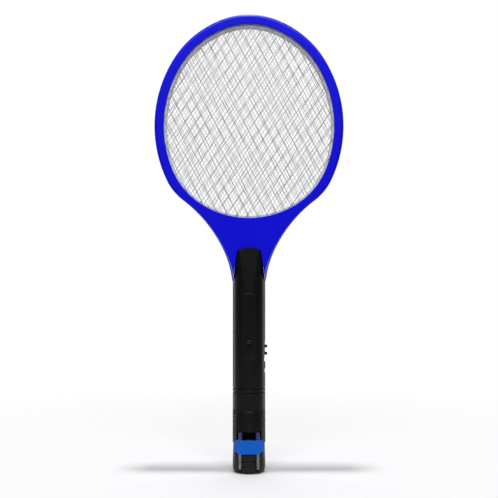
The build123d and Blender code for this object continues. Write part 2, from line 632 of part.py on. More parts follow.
# ---- torch -------------------------------------------------------------------------------
def carrier_opening():
    """What the fold-out plug needs cut from the torch's barrel, with room for its corners."""
    depth = CARRIER_SIDE - HINGE_Y
    back = HINGE_Y + sqrt(depth ** 2 + (CARRIER_HIGH - HINGE_Z) ** 2) + FIT
    low = HINGE_Z - sqrt(depth ** 2 + (HINGE_Z - CARRIER_LOW) ** 2) - FIT
    face = block(-CARRIER_HALF - FIT, CARRIER_HALF + FIT, -HANDLE_R - 2, back,
                 low, CARRIER_HIGH + FIT)
    pocket = block(-POCKET_HALF, POCKET_HALF, -HANDLE_R - 2, POCKET_BACK, low, POCKET_TOP)
    return face + pocket


def pin_grooves():
    """Open grooves down the barrel and the cap, one for each plug pin."""
    grooves = []
    for side in (-1, 1):
        x = side * PIN_PITCH / 2
        room = PIN_R + FIT
        low = PIN_TIP - 1.2
        groove = post(room, low, CARRIER_LOW, x, PIN_Y)
        groove += block(x - room, x + room, -HANDLE_R - 2, PIN_Y, low, CARRIER_LOW)
        grooves.append(groove)
    return grooves[0] + grooves[1]


def groove_wall():
    """Backing of the pin grooves inside the barrel and cap."""
    form = post(HANDLE_R - 0.5, CAP_FLOOR - 0.5, CARRIER_LOW - FIT)
    half = PIN_PITCH / 2 + PIN_R + FIT + GROOVE_WALL
    return form & block(-half, half, -HANDLE_R, PIN_Y + PIN_R + FIT + GROOVE_WALL, 0, CARRIER_LOW)


def torch_body():
    """Ribbed barrel with the neck that enters the handle."""
    low = CAP_TOP + SEAM_GAP
    bore = HANDLE_R - WALL
    points = [(bore, low), (HANDLE_R - EDGE, low), (HANDLE_R, low + EDGE)]
    for rib in range(RIBS):
        z = RIB_BOTTOM + rib * RIB_PITCH
        root = RIB_R - RIB_GROOVE
        points += [(root, z), (RIB_R - 0.2, z + 0.25 * RIB_PITCH), (RIB_R, z + 0.35 * RIB_PITCH),
                   (RIB_R, z + 0.55 * RIB_PITCH), (RIB_R - 0.2, z + 0.65 * RIB_PITCH),
                   (root, z + 0.9 * RIB_PITCH)]
    points += [(HANDLE_R, RIB_BOTTOM + RIBS * RIB_PITCH), (HANDLE_R, TORCH_SHOULDER - EDGE),
               (HANDLE_R - EDGE, TORCH_SHOULDER), (NECK_OUT, TORCH_SHOULDER),
               (NECK_OUT, NECK_TOP), (NECK_IN, NECK_TOP), (NECK_IN, TORCH_SHOULDER - WALL),
               (bore, TORCH_SHOULDER - WALL - 3)]
    form = turned(points)
    form += groove_wall() & post(HANDLE_R, low, CARRIER_LOW)
    return form - carrier_opening() - pin_grooves()


def tail_cap():
    bore = HANDLE_R - WALL
    form = post(HANDLE_R, 0, CAP_TOP)
    form = fillet(form.edges().filter_by(GeomType.CIRCLE).sort_by(Axis.Z)[:1], CAP_ROUND)
    form = chamfer(form.edges().filter_by(GeomType.CIRCLE).sort_by(Axis.Z)[-1:], EDGE)
    form -= tube(HANDLE_R + 1, HANDLE_R - CAP_GROOVE, CAP_GROOVE_Z - CAP_GROOVE,
                 CAP_GROOVE_Z + CAP_GROOVE)
    form -= post(bore, CAP_FLOOR, CAP_TOP + 1)
    form += groove_wall() & post(HANDLE_R - 0.4, CAP_FLOOR, CAP_TOP)
    form -= post(TAIL_RECESS_R, -1, TAIL_RECESS) + post(TAIL_BUTTON_R + FIT, -1, CAP_FLOOR + 1)
    slot = block(-LANYARD_HALF, LANYARD_HALF, 0, HANDLE_R + 1, LANYARD_LOW, LANYARD_HIGH)
    slot = fillet(slot.edges().filter_by(Axis.Y), LANYARD_HALF - 0.1)
    return form - slot - pin_grooves()


def tail_button():
    """Rubber button in the cap's floor, which switches the torch."""
    flange = CAP_FLOOR + FIT / 2
    cap = post(TAIL_BUTTON_R, TAIL_BUTTON_LOW, flange + TAIL_FLANGE_T)
    cap = fillet(cap.edges().filter_by(GeomType.CIRCLE).sort_by(Axis.Z)[:1], 0.8)
    return cap + post(TAIL_FLANGE_R, flange, flange + TAIL_FLANGE_T)


TAIL_SPRING_LOW = CAP_FLOOR + FIT / 2 + TAIL_FLANGE_T
TAIL_SWITCH_LOW = TAIL_SPRING_LOW + 3.6


def coil(radius, low, high, turns):
    """A coil spring between two heights, inside them by its wire."""
    rise = high - low - 2 * SPRING_WIRE_R
    path = Helix(rise / turns, rise, radius, center=(0, 0, low + SPRING_WIRE_R))
    return sweep(Plane(path @ 0, z_dir=path % 0) * Circle(SPRING_WIRE_R), path=path)


def tail_spring():
    return coil(4.0, TAIL_SPRING_LOW + 0.05, TAIL_SWITCH_LOW - 0.05, 3)


def tail_switch():
    """Push switch over the tail button, held by the barrel."""
    case = block(-5.5, 5.5, -5.5, 5.5, TAIL_SWITCH_LOW, TAIL_SWITCH_LOW + 6)
    return case + post(1.5, TAIL_SPRING_LOW + TAIL_TRAVEL + 0.2, TAIL_SWITCH_LOW + 0.5)


def battery_seat():
    """Disc that closes the battery space over the plug's pocket."""
    form = post(HANDLE_R - WALL - FIT, POCKET_TOP + FIT, POCKET_TOP + FIT + 1.2)
    return form - block(-6, 6, 12, HANDLE_R, 0, LENGTH)


def battery_spring():
    return coil(5.0, POCKET_TOP + FIT + 1.25, BATTERY_BOTTOM - 0.05, 2)


def battery():
    cell = post(BATTERY_R, BATTERY_BOTTOM, BATTERY_TOP)
    cell = fillet(cell.edges().filter_by(GeomType.CIRCLE), 0.8)
    return cell + post(3.2, BATTERY_TOP - 0.5, BATTERY_TOP + 1.2)


def battery_contact():
    low = BATTERY_TOP + 1.25
    return post(8.0, low, low + 0.4) + post(1.5, low + 0.3, LAMP_BOARD_Z - 0.1)


def torch_bezel():
    """Screwed ring on the neck, which holds the lens."""
    spigot = NECK_IN - RUN
    low = NECK_TOP + SEAM_GAP / 2
    form = turned([(BEZEL_BORE, NECK_TOP - 4), (spigot, NECK_TOP - 4), (spigot, low),
                   (NECK_OUT, low), (NECK_OUT, TORCH_TOP - 1), (NECK_OUT - 1, TORCH_TOP),
                   (BEZEL_BORE - BEZEL_LIP, TORCH_TOP), (BEZEL_BORE - BEZEL_LIP, TORCH_TOP - 1),
                   (BEZEL_BORE, TORCH_TOP - 1)])
    form -= rod_y(RELEASE_R + RUN, BEZEL_BORE + 0.2, NECK_OUT + 1, 0, RELEASE_Z)
    for side in (-1, 1):
        form -= post(TERMINAL_R + RUN, TORCH_TOP - 1.5, TORCH_TOP + 1, side * TERMINAL_X)
    return form


def release_button():
    """Sprung pip under the hole in the handle's back: press it to draw the torch out."""
    nose = SOCKET_BORE_R - 0.15
    pip = rod_y(RELEASE_R, nose - 2.1, nose, 0, RELEASE_Z)
    return fillet(pip.edges().filter_by(GeomType.CIRCLE).sort_by(Axis.Y)[-1:], 0.9)


def torch_terminals():
    low, high = TORCH_TOP - 1.5, SOCKET_TOP - FIT
    return Compound(children=[post(TERMINAL_R, low, high, side * TERMINAL_X) for side in (-1, 1)])


def torch_lens():
    low = TORCH_TOP - 2.3
    lens = post(BEZEL_BORE - 0.1, low, TORCH_TOP - 1.05)
    return chamfer(lens.edges().filter_by(GeomType.CIRCLE).sort_by(Axis.Z)[-1:], 0.2)


def torch_reflector():
    low, high = LAMP_BOARD_Z + BOARD_T + 0.6, TORCH_TOP - 2.4
    rim = BEZEL_BORE - 0.1
    foot = LED_RING_R + LED_R + 0.4
    return turned([(foot, low), (foot + 1, low), (rim, high), (rim - 0.3, high)])


def torch_lamp_board():
    return post(BEZEL_BORE - 0.1, LAMP_BOARD_Z, LAMP_BOARD_Z + BOARD_T)


def torch_lamps():
    """Three white 5 mm lamps."""
    lamps = []
    low = LAMP_BOARD_Z + BOARD_T + 0.05
    for third in range(3):
        nx, ny = heading(90 + 120 * third)
        lamp = post(LED_R, low, low + 7.2, LED_RING_R * nx, LED_RING_R * ny)
        lamps.append(fillet(lamp.edges().filter_by(GeomType.CIRCLE).sort_by(Axis.Z)[-1:], 2.2))
    return Compound(children=lamps)


def charging_board():
    return block(-CHARGE_BOARD_HALF, CHARGE_BOARD_HALF, CHARGE_BOARD_Y, CHARGE_BOARD_Y + BOARD_T,
                 CHARGE_BOARD_LOW, CHARGE_BOARD_HIGH)


def charging_parts():
    """Dropper capacitor and bridge rectifier on the charging board."""
    y, low = CHARGE_BOARD_Y - SOLDER_GAP, CHARGE_BOARD_LOW + 2
    dropper = fillet(block(-7, 5, y - 6, y, low, low + 10).edges(), 1.0)
    return Compound(children=[dropper, block(6.5, 10, y - 2.5, y, low + 1, low + 6)])


def charging_contacts():
    """Two brass blades that the pins' rear ends meet when the plug is folded out."""
    blades = []
    for side in (-1, 1):
        x = side * PIN_PITCH / 2
        y, thick = HINGE_Y + SLEEVE_TOP - HINGE_Z + FIT, 0.6
        pad = block(x - 1.8, x + 1.8, y, y + thick, HINGE_Z - 4, HINGE_Z + 4)
        leg = block(x - 1.0, x + 1.0, y, CHARGE_BOARD_Y - SOLDER_GAP,
                    HINGE_Z + 4 - thick, HINGE_Z + 4)
        blades.append(pad + leg)
    return Compound(children=blades)


# ---- fold-out plug -----------------------------------------------------------------------
def plug_bracket():
    """Moulded bracket with two lugs for the plug's hinge."""
    y0, y1 = CARRIER_BACK + 1.2, CARRIER_BACK + 3.2
    half = POCKET_HALF - FIT
    form = block(-half, half, y0, y1, CARRIER_LOW + 1, HINGE_Z - 2.6)
    reach = LUG_X + LUG_T / 2
    form += block(-reach, reach, y0, y1, HINGE_Z - 4, HINGE_Z + LUG_R)
    for side in (-1, 1):
        x0, x1 = side * LUG_X - LUG_T / 2, side * LUG_X + LUG_T / 2
        form += block(x0, x1, HINGE_Y, y0 + 0.1, HINGE_Z - LUG_R, HINGE_Z + LUG_R)
        form += rod_x(LUG_R, x0, x1, HINGE_Y, HINGE_Z)
    return form - rod_x(HINGE_R + 0.02, -reach - 1, reach + 1, HINGE_Y, HINGE_Z)


def plug_hinge_pin():
    reach = PIN_PITCH / 2 - PIN_R - FIT
    return rod_x(HINGE_R, -reach, reach, HINGE_Y, HINGE_Z)


def plug_carrier():
    """Blue block that carries the pins and turns on the hinge pin."""
    outline = [(-CARRIER_HALF, CARRIER_SIDE), (-CARRIER_FLAT, CARRIER_FRONT),
               (CARRIER_FLAT, CARRIER_FRONT), (CARRIER_HALF, CARRIER_SIDE),
               (CARRIER_HALF - CARRIER_WALL, CARRIER_SIDE), (CARRIER_FLAT + 1.6, CARRIER_BACK),
               (-CARRIER_FLAT - 1.6, CARRIER_BACK), (CARRIER_WALL - CARRIER_HALF, CARRIER_SIDE)]
    face = make_face(Polyline(*outline, close=True))
    form = extrude(Plane.XY.offset(CARRIER_LOW) * face, amount=CARRIER_HIGH - CARRIER_LOW)
    wide, high = CARRIER_CORNER
    for side in (-1, 1):
        foot = [(side * (CARRIER_HALF - wide), CARRIER_LOW), (side * CARRIER_HALF, CARRIER_LOW - 1),
                (side * (CARRIER_HALF + 1), CARRIER_LOW - 1),
                (side * (CARRIER_HALF + 1), CARRIER_LOW + high * (wide + 1) / wide)]
        form -= slab(make_face(Polyline(*foot, close=True)), -HANDLE_R - 1, 0)
    back_low = form.edges().filter_by(Axis.X).sort_by(Axis.Z)[:4].sort_by(Axis.Y)[-1:]
    form = chamfer(back_low, 1.5)
    front_edges = form.faces().sort_by(Axis.Y)[0].edges().filter_by(Axis.X)
    form = fillet(front_edges, 0.6)
    for side in (-1, 1):
        x0, x1 = side * LUG_X - LUG_T / 2 - LUG_ROOM, side * LUG_X + LUG_T / 2 + LUG_ROOM
        form -= block(x0, x1, HINGE_Y - LUG_R - LUG_ROOM, 0,
                      HINGE_Z - LUG_R - LUG_ROOM, CARRIER_HIGH + 1)
        form -= post(PIN_R, CARRIER_LOW - 1, CARRIER_HIGH + 1, side * PIN_PITCH / 2, PIN_Y)
    reach = PIN_PITCH / 2 - PIN_R - FIT / 2
    return form - rod_x(HINGE_R + RUN, -reach, reach, HINGE_Y, HINGE_Z)


def plug_pins():
    """Two round mains pins moulded into the carrier, with sleeved rear ends."""
    pins = []
    for side in (-1, 1):
        x = side * PIN_PITCH / 2
        pin = post(PIN_R, PIN_TIP, CARRIER_HIGH, x, PIN_Y)
        pins.append(fillet(pin.edges().filter_by(GeomType.CIRCLE).sort_by(Axis.Z)[:1], 1.4))
    return Compound(children=pins)


def plug_sleeves():
    """Coloured sleeves on the pins' rear ends, open at the top for the charging contacts."""
    sleeves = []
    for side in (-1, 1):
        x = side * PIN_PITCH / 2
        sleeve = post(SLEEVE_R, CARRIER_HIGH + 0.02, SLEEVE_TOP, x, PIN_Y)
        sleeves.append(fillet(sleeve.edges().filter_by(GeomType.CIRCLE).sort_by(Axis.Z)[-1:], 0.5))
    return Compound(children=sleeves)


PIECES = {
    "head_frame_front": lambda: head_shell(-1),
    "head_frame_back": lambda: head_shell(1),
    "grid_front": grid_front,
    "grid_middle": grid_middle,
    "grid_back": grid_back,
    "spacer_ring_front": lambda: spacer(-1),
    "spacer_ring_back": lambda: spacer(1),
    "handle_front": lambda: handle_shell(-1),
    "handle_back": lambda: handle_shell(1),
    "handle_screws": handle_screws,
    "torch_socket": torch_socket,
    "zap_button": zap_button,
    "zap_switch": zap_switch,
    "slide_knob": slide_knob,
    "slide_switch": slide_switch,
    "indicator_lamp": indicator_lamp,
    "circuit_board": circuit_board,
    "transformer": transformer,
    "storage_capacitor": storage_capacitor,
    "ladder_capacitors": ladder_capacitors,
    "ladder_diodes": ladder_diodes,
    "resistors": resistors,
    "transistor": transistor,
    "grid_leads": grid_leads,
    "power_leads": power_leads,
    "socket_contacts": socket_contacts,
    "torch_body": torch_body,
    "tail_cap": tail_cap,
    "tail_button": tail_button,
    "tail_spring": tail_spring,
    "tail_switch": tail_switch,
    "battery_seat": battery_seat,
    "battery_spring": battery_spring,
    "battery": battery,
    "battery_contact": battery_contact,
    "torch_bezel": torch_bezel,
    "release_button": release_button,
    "torch_terminals": torch_terminals,
    "torch_lens": torch_lens,
    "torch_reflector": torch_reflector,
    "torch_lamp_board": torch_lamp_board,
    "torch_lamps": torch_lamps,
    "charging_board": charging_board,
    "charging_parts": charging_parts,
    "charging_contacts": charging_contacts,
    "plug_bracket": plug_bracket,
    "plug_hinge_pin": plug_hinge_pin,
    "plug_carrier": plug_carrier,
    "plug_pins": plug_pins,
    "plug_sleeves": plug_sleeves,
}

os.makedirs("parts", exist_ok=True)
for name, make in PIECES.items():
    export_step(make(), f"parts/{name}.step")
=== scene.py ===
# %% [markdown]
# # Electric fly swatter
#
# The solid parts of this swatter come from a CAD model.  This lesson
# loads that model as a fixed frame, gives every part a finish built from shader nodes, and
# makes the three expanded-metal grids again with their real fine mesh.  Everything is in
# metres: Z goes up the handle, the front of the swatter looks along -Y, and the thumb
# controls are on the +X side.

import json
import math

import bpy
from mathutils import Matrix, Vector


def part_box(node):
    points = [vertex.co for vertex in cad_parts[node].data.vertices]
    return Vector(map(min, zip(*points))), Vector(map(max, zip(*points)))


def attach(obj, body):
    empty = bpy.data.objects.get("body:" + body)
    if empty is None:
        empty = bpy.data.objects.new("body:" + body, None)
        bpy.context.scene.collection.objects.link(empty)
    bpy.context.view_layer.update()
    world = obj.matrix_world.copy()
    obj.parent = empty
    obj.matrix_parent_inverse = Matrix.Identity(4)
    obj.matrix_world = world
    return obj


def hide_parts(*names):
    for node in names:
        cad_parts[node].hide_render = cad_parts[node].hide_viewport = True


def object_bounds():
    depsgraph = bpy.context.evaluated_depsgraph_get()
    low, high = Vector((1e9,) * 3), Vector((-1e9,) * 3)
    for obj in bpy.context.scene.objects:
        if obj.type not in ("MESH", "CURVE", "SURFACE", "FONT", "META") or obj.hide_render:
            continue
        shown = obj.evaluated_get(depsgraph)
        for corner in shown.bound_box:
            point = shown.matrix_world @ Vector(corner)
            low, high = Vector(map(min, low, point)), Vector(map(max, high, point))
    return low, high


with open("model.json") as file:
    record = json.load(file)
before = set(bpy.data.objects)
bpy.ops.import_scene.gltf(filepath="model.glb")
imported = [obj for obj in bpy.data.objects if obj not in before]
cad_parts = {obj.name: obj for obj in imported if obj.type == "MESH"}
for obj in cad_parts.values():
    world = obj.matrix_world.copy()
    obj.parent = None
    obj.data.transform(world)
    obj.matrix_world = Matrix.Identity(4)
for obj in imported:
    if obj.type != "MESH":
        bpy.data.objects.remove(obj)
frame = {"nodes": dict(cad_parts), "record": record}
cad_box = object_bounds()
slot_of = {part["node"]: part["material_slot"] for part in frame["record"]["subparts"]}

# %% [markdown]
# ## Sums with sockets
#
# A finish is a graph of nodes, and wiring sums by hand hides what they mean.  This small
# class wraps one output socket, so that `1 - mask` or `grain * 0.2 + 0.4` adds the Math
# nodes by itself.  Numbers on their own never become nodes: Python works them out.

# %% A socket that can be added and multiplied
class Wire:
    def __init__(self, finish, socket):
        self.finish = finish
        self.socket = socket

    def _sum(self, operation, first, second):
        return self.finish.node("ShaderNodeMath", {"operation": operation},
                                {0: first, 1: second})

    def __add__(self, other):
        return self._sum("ADD", self, other)

    def __radd__(self, other):
        return self._sum("ADD", other, self)

    def __sub__(self, other):
        return self._sum("SUBTRACT", self, other)

    def __rsub__(self, other):
        return self._sum("SUBTRACT", other, self)

    def __mul__(self, other):
        return self._sum("MULTIPLY", self, other)

    def __rmul__(self, other):
        return self._sum("MULTIPLY", other, self)

    def __pow__(self, other):
        return self._sum("POWER", self, other)


# %% [markdown]
# ## One class for a finish
#
# Each finish is one material with a Principled shader.  `node` is the single way to add any
# other node: it sets the node's options first and then fills or links its sockets.  The
# helpers below it are the patterns that come back in nearly every finish: a cloud of noise,
# a ramp that sharpens it, two colours mixed by a mask, and a bump.

# %% The finish class
class Finish:
    def __init__(self, name, **constants):
        self.material = bpy.data.materials.new(name)
        self.material.use_nodes = True
        self.tree = self.material.node_tree
        self.shader = self.tree.nodes["Principled BSDF"]
        for socket, value in constants.items():
            self.shader.inputs[socket.replace("_", " ")].default_value = value
        self.place = self.node("ShaderNodeTexCoord", output="Object")

    def node(self, kind, settings=None, sockets=None, output=0):
        made = self.tree.nodes.new(kind)
        for name, value in (settings or {}).items():
            if name == "ramp":
                for stop, (position, grey) in zip(made.color_ramp.elements, value):
                    stop.position = position
                    stop.color = (grey, grey, grey, 1)
            else:
                setattr(made, name, value)
        for name, value in (sockets or {}).items():
            if isinstance(value, Wire):
                self.tree.links.new(value.socket, made.inputs[name])
            else:
                made.inputs[name].default_value = value
        return Wire(self, made.outputs[output])

    def feed(self, socket, wire):
        self.tree.links.new(wire.socket, self.shader.inputs[socket])

    def cloud(self, size, stretch=(1, 1, 1), detail=3.0, shift=0.0):
        """Noise whose lumps are about size metres across, drawn out by stretch."""
        scale = tuple(1 / (size * pull) for pull in stretch)
        spot = self.node("ShaderNodeMapping", None,
                         {"Vector": self.place, "Scale": scale, "Location": (shift,) * 3})
        return self.node("ShaderNodeTexNoise", None,
                         {"Vector": spot, "Scale": 1.0, "Detail": detail, "Roughness": 0.55})

    def between(self, wire, low, high):
        """0 below low, 1 above high, and a ramp between them."""
        return self.node("ShaderNodeValToRGB", {"ramp": ((low, 0.0), (high, 1.0))}, {"Fac": wire})

    def blend(self, mask, first, second):
        """The first colour where the mask is 0, the second where it is 1."""
        return self.node("ShaderNodeMix", {"data_type": "RGBA"},
                         {"Factor": mask, 6: (*first, 1), 7: (*second, 1)}, 2)

    def bump(self, height, depth, before=None):
        """A bump of depth metres between the height's 0 and 1, on top of an earlier bump."""
        sockets = {"Height": height, "Distance": depth, "Strength": 1.0}
        if before is not None:
            sockets["Normal"] = before
        return self.node("ShaderNodeBump", None, sockets)

    def edge_mask(self, width):
        """1 along edges about width metres wide, 0 on flat faces."""
        soft = self.node("ShaderNodeBevel", {"samples": 4}, {"Radius": width})
        hard = self.node("ShaderNodeNewGeometry", output="Normal")
        turn = self.node("ShaderNodeVectorMath", {"operation": "DOT_PRODUCT"},
                         {0: soft, 1: hard}, "Value")
        return self.between(1 - turn, 0.01, 0.16)


def tint(colour, factor):
    return tuple(min(1.0, channel * factor) for channel in colour)


print("the finish class is ready")

# %% [markdown]
# ## Moulded plastic
#
# Most of the swatter is injection-moulded ABS.  Real mouldings are never one flat colour:
# the spark-eroded mould leaves a fine grain, the melt leaves broad soft clouds in the gloss,
# hands leave scuffs that shine less, and edges wear paler.  On the blue head the edge factor
# is below one, so there the edges are painted darker instead: painted shade, not wear.  One
# recipe with a few numbers gives the glossy blue head, the matt black handle and the small
# knobs their own look.

# %% The plastic recipe
def moulded(name, colour, roughness, grain=0.0004, depth=0.00002, edge_wear_and_shade=1.6, clouds=0.12, **extra):
    finish = Finish(name, Roughness=roughness, **extra)
    haze = finish.cloud(0.03, detail=2.0)
    scuffs = finish.between(finish.cloud(0.006, (0.25, 1, 3.0), 5.0, shift=7.0), 0.56, 0.74)
    # Edge band: paler worn edges on most parts; where the edge factor is below one, on the blue
    # head, it is painted shade that darkens the edges.
    worn_and_shaded_edges = finish.edge_mask(0.0006)
    base = finish.blend(haze, tint(colour, 1 - clouds), tint(colour, 1 + clouds))
    wear_and_shade_colour = finish.node("ShaderNodeMix", {"data_type": "RGBA"},
                         {"Factor": worn_and_shaded_edges * 0.45 + scuffs * 0.06, 6: base,
                          7: (*tint(tuple(c + 0.004 for c in colour), edge_wear_and_shade), 1)}, 2)
    finish.feed("Base Color", wear_and_shade_colour)
    finish.feed("Roughness", haze * 0.10 + scuffs * 0.12 + (roughness - 0.05))
    broad = finish.bump(finish.cloud(0.012, detail=1.0, shift=3.0), depth * 1.5)
    finish.feed("Normal", finish.bump(finish.cloud(grain, detail=2.0), depth, broad))
    return finish.material


# %% [markdown]
# ## Metal
#
# Rolled, drawn or plated metal shows fine lines along the way it was worked, and small dull
# patches.  The lines go into roughness and a very shallow bump, and the patches darken the
# colour a little, so that no two strands of a grid shine quite alike.

# %% The metal recipe
def metal(name, colour, roughness, lines=(6, 1, 1), tarnish=0.65, **extra):
    finish = Finish(name, Metallic=1.0, Roughness=roughness, **extra)
    brushed = finish.cloud(0.0006, lines, 4.0)
    dull = finish.between(finish.cloud(0.004, detail=4.0, shift=5.0), 0.42, 0.70)
    finish.feed("Base Color", finish.blend(dull, colour, tint(colour, tarnish)))
    finish.feed("Roughness", brushed * 0.22 + dull * 0.14 + (roughness - 0.12))
    finish.feed("Normal", finish.bump(brushed, 0.000012))
    return finish.material


# %% [markdown]
# ## Clear parts
#
# The torch's lens and lamps are clear polycarbonate and epoxy.  They let light through, and
# faint flow marks and dust in the roughness keep them from looking like a hole.

# %% The clear recipe
def clear(name, colour, roughness):
    finish = Finish(name, Transmission_Weight=0.9, IOR=1.58)
    dust = finish.between(finish.cloud(0.0015, detail=5.0), 0.55, 0.75)
    finish.feed("Base Color", finish.blend(dust, colour, tint(colour, 0.85)))
    finish.feed("Roughness", dust * 0.25 + roughness)
    finish.feed("Normal", finish.bump(finish.cloud(0.003, detail=1.0), 0.00002))
    return finish.material


# %% [markdown]
# ## Circuit board and painted parts
#
# The boards inside the handle have copper tracks under green lacquer.  A brick pattern turned
# into a height gives straight tracks, and the same pattern makes the green lighter over them.

# %% The board recipe
def laminate(name, colour):
    finish = Finish(name, Coat_Weight=0.4)
    spot = finish.node("ShaderNodeMapping", None,
                       {"Vector": finish.place, "Rotation": (math.pi / 2, 0, 0)})
    tracks = finish.node("ShaderNodeTexBrick", {"offset": 0.37, "squash": 1.4},
                         {"Vector": spot, "Scale": 160.0, "Mortar Size": 0.028,
                          "Color1": (1, 1, 1, 1), "Color2": (1, 1, 1, 1),
                          "Mortar": (0, 0, 0, 1)}, "Fac")
    finish.feed("Base Color", finish.blend(tracks, colour, tint(colour, 1.9)))
    finish.feed("Roughness", finish.cloud(0.002) * 0.2 + 0.25)
    finish.feed("Normal", finish.bump(tracks, 0.00003))
    return finish.material


# %% [markdown]
# ## Every finish by name
#
# The CAD record gives each part the name of its finish.  This table makes one material for
# each of those names.  The head is a smooth saturated blue with a high gloss; the handle is
# a matt black with a visible grain; the plug's carrier is a lighter sky blue.  One part has
# a darker finish than its record names, as painted shade: the charging board behind the plug
# is made black for the dark slots it is seen through.

# %% Make the finishes
BLUE = (0.0050, 0.0055, 0.96)
BLACK = (0.0024, 0.0024, 0.0025)
SILVER = (0.74, 0.74, 0.75)

FINISHES = {
    # edge=0.55 paints the head's edges darker: painted shade.
    "head_blue": moulded("head_blue", BLUE, 0.36, grain=0.0009, depth=0.000006, edge_wear_and_shade=0.55,
                         clouds=0.05, Coat_Weight=0.06, Coat_Roughness=0.18,
                         Specular_IOR_Level=0.2),
    "grid_metal": metal("grid_metal", SILVER, 0.5, tarnish=0.8),
    "spacer_white": moulded("spacer_white", (0.92, 0.93, 0.96), 0.5, edge_wear_and_shade=1.0, clouds=0.02),
    "handle_black": moulded("handle_black", BLACK, 0.40, grain=0.00055, depth=0.00003, edge_wear_and_shade=3.0,
                            Specular_IOR_Level=0.3),
    "torch_black": moulded("torch_black", tint(BLACK, 0.92), 0.40, grain=0.00055, depth=0.00003,
                           edge_wear_and_shade=3.0, Specular_IOR_Level=0.3),
    "knob_black": moulded("knob_black", tint(BLACK, 0.8), 0.36, grain=0.0003, edge_wear_and_shade=3.0),
    "button_red": moulded("button_red", (0.13, 0.007, 0.011), 0.3, edge_wear_and_shade=1.3),
    "switch_black": moulded("switch_black", (0.02, 0.02, 0.021), 0.5),
    "switch_steel": metal("switch_steel", (0.5, 0.5, 0.51), 0.35),
    "screw_steel": metal("screw_steel", (0.55, 0.55, 0.54), 0.3, (1, 5, 1), 0.5),
    "lamp_red": moulded("lamp_red", (0.035, 0.006, 0.006), 0.22, edge_wear_and_shade=1.2, Coat_Weight=0.3),
    "board_black": laminate("board_black", (0.006, 0.008, 0.010)),
    "board_green": laminate("board_green", (0.010, 0.12, 0.035)),
    "coil_yellow": moulded("coil_yellow", (0.72, 0.50, 0.06), 0.4, grain=0.001, depth=0.00006),
    "capacitor_brown": moulded("capacitor_brown", (0.28, 0.07, 0.02), 0.3),
    "capacitor_blue": moulded("capacitor_blue", (0.03, 0.15, 0.55), 0.35),
    "resistor_tan": moulded("resistor_tan", (0.55, 0.36, 0.17), 0.35),
    "lead_red": moulded("lead_red", (0.45, 0.012, 0.012), 0.45),
    "contact_brass": metal("contact_brass", (0.72, 0.50, 0.20), 0.3),
    "tail_rubber": moulded("tail_rubber", (0.016, 0.016, 0.016), 0.7, depth=0.00006),
    "battery_green": moulded("battery_green", (0.03, 0.28, 0.11), 0.3),
    "lens_clear": clear("lens_clear", (0.92, 0.95, 0.97), 0.05),
    "reflector_chrome": metal("reflector_chrome", (0.85, 0.85, 0.86), 0.15, (1, 1, 1), 0.9),
    "plug_blue": moulded("plug_blue", (0.002, 0.125, 0.64), 0.34, depth=0.00001, edge_wear_and_shade=1.8,
                         clouds=0.06, Specular_IOR_Level=0.15),
    # Painted shade: the pins' nickel colour is set dark (0.20) to stand for the dark room in
    # front that they reflect.
    "pin_nickel": metal("pin_nickel", (0.20, 0.20, 0.20), 0.28, (1, 1, 6), 0.75),
    "sleeve_violet": moulded("sleeve_violet", (0.026, 0.030, 0.17), 0.4, edge_wear_and_shade=1.4),
}
# Painted shade: the charging board gets the black board finish instead of its green, for the dark
# slots it sits behind.
PAINTED_SHADE_FINISH = {"charging_board": "board_black"}
for node, part in frame["nodes"].items():
    for material_slot in part.material_slots:
        material_slot.material = FINISHES[PAINTED_SHADE_FINISH.get(node, slot_of[node])]
print("made", len(FINISHES), "finishes for", len(frame["nodes"]), "parts")

# %% [markdown]
# ## The grids: expanded metal
#
# Each grid is a sheet of aluminium, slit and pulled open into diamonds.  The strands come
# out slanted, like the slats of a blind, which is why they glint on one side and go grey on
# the other.  So one diamond is made: a four-sided circle, inset to leave a ring one
# strand wide, its top corner pushed back and its bottom corner pulled forward.

# %% One diamond
def start_clean():
    if bpy.context.mode != "OBJECT":
        bpy.ops.object.mode_set(mode="OBJECT")
    bpy.ops.object.select_all(action="DESELECT")


def pick(piece, wanted):
    """In edit mode, select just the vertices whose place is wanted."""
    bpy.ops.mesh.select_mode(type="VERT")
    bpy.ops.mesh.select_all(action="DESELECT")
    bpy.ops.object.mode_set(mode="OBJECT")
    for vertex in piece.data.vertices:
        vertex.select = wanted(vertex.co)
    bpy.ops.object.mode_set(mode="EDIT")


def diamond(name, wide, tall, strand, slant):
    start_clean()
    bpy.ops.mesh.primitive_circle_add(vertices=4, radius=0.5, fill_type="NGON",
                                      rotation=(math.pi / 2, 0, 0))
    piece = bpy.context.object
    piece.name = name
    piece.data.name = name
    piece.scale = (wide, tall, 1)
    bpy.ops.object.transform_apply(location=True, rotation=True, scale=True)
    bpy.ops.object.mode_set(mode="EDIT")
    bpy.ops.mesh.select_all(action="SELECT")
    bpy.ops.mesh.inset(thickness=strand / 2, depth=0)
    bpy.ops.mesh.delete(type="FACE")
    for side in (-1, 1):
        pick(piece, lambda co: 0.2 * tall < side * co.z < 0.499 * tall and abs(co.x) < wide / 9)
        bpy.ops.transform.translate(value=(0, side * slant, 0))
    bpy.ops.object.mode_set(mode="OBJECT")
    return piece


# %% [markdown]
# ## From one diamond to a sheet
#
# Three Array modifiers repeat the diamond: along a row, then once more half a cell over and
# up, then up the sheet.  Corners that meet are merged, so the strands join at their knots.
# The sheet is then turned by its small tilt.  `transform.rotate` has no pivot without a
# window, so it is given its centre.

# %% Repeat and tilt
def repeat(piece, step, count, join):
    rows = piece.modifiers.new("repeat", "ARRAY")
    rows.use_relative_offset = False
    rows.use_constant_offset = True
    rows.constant_offset_displace = step
    rows.count = count
    rows.use_merge_vertices = True
    rows.merge_threshold = join
    bpy.ops.object.modifier_apply(modifier=rows.name)


